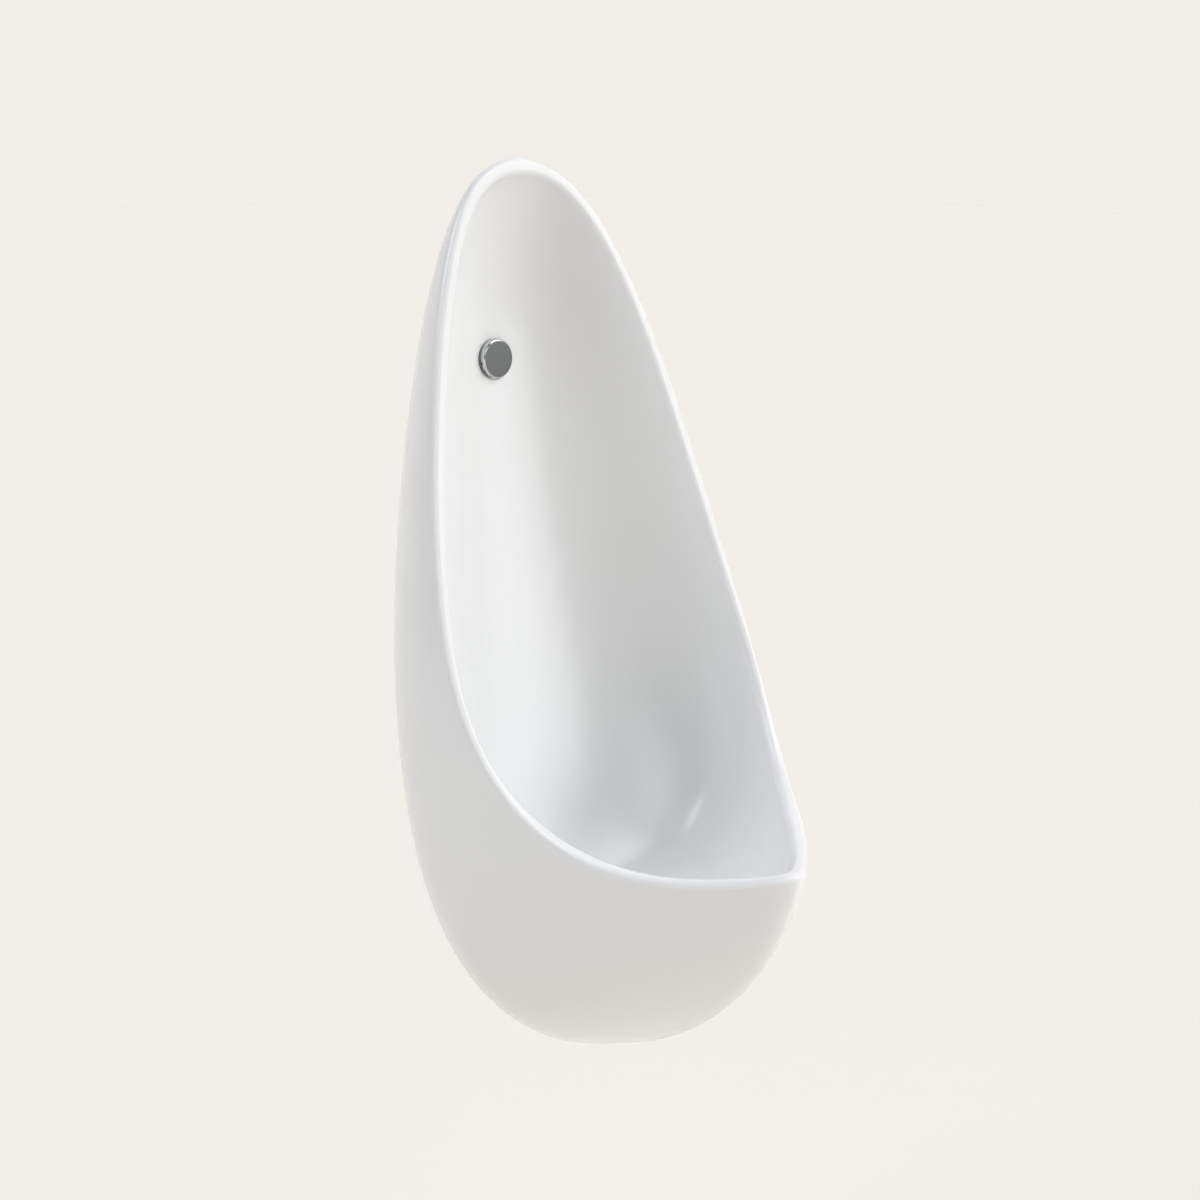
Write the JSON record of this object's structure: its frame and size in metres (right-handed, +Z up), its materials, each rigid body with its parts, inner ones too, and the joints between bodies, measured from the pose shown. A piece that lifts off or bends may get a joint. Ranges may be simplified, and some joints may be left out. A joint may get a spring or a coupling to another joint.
{
  "type": "wall hung urinal",
  "caption": "Tall drop-shaped wall hung urinal in white glazed ceramic with a deep open bowl, a round metal spreader, rear supply, trap and hanger hooks.",
  "frame": {"origin": "on the wall plane, midway between the two hanger screws", "axes": "+Z up, +Y into the wall, the bowl opens towards -Y, +X to the right of someone facing the urinal"},
  "size_m": [0.3384, 0.3982, 0.6995],
  "materials": {
    "white_glaze": "gloss",
    "chrome": "polished",
    "stainless_steel": "brushed",
    "zinc_steel": "zinc plated",
    "brass": "machined",
    "black_rubber": "matt",
    "grey_fibre": "matt",
    "white_plastic": "satin"
  },
  "bodies": {
    "urinal": {"ceramic_body": "white_glaze", "spreader_head": "chrome", "spreader_body": "chrome", "spreader_front_seal": "black_rubber", "flow_regulator": "white_plastic", "spreader_back_washer": "grey_fibre", "spreader_locknut": "brass", "supply_nipple": "brass", "inlet_o_ring": "black_rubber", "waste_body": "chrome", "waste_top_seal": "black_rubber", "waste_under_seal": "black_rubber", "waste_friction_washer": "white_plastic", "waste_locknut": "brass", "trap_inlet_nut": "white_plastic", "trap_inlet_washer": "black_rubber", "trap_bend": "white_plastic", "trap_union_nut": "white_plastic", "trap_union_washer": "black_rubber", "trap_arm": "white_plastic", "wall_pipe_seal": "black_rubber", "hanger_left": "zinc_steel", "hanger_pad_left": "black_rubber", "hanger_washer_left": "zinc_steel", "hanger_screw_left": "zinc_steel", "hanger_right": "zinc_steel", "hanger_pad_right": "black_rubber", "hanger_washer_right": "zinc_steel", "hanger_screw_right": "zinc_steel"},
    "lift_out_strainer": {"strainer": "stainless_steel"}
  },
  "joints": [
    {"name": "strainer_lift", "type": "slide", "parent": "urinal", "child": "lift_out_strainer", "axis": [0, 0, 1], "range_m": [0, 0.12]}
  ]
}
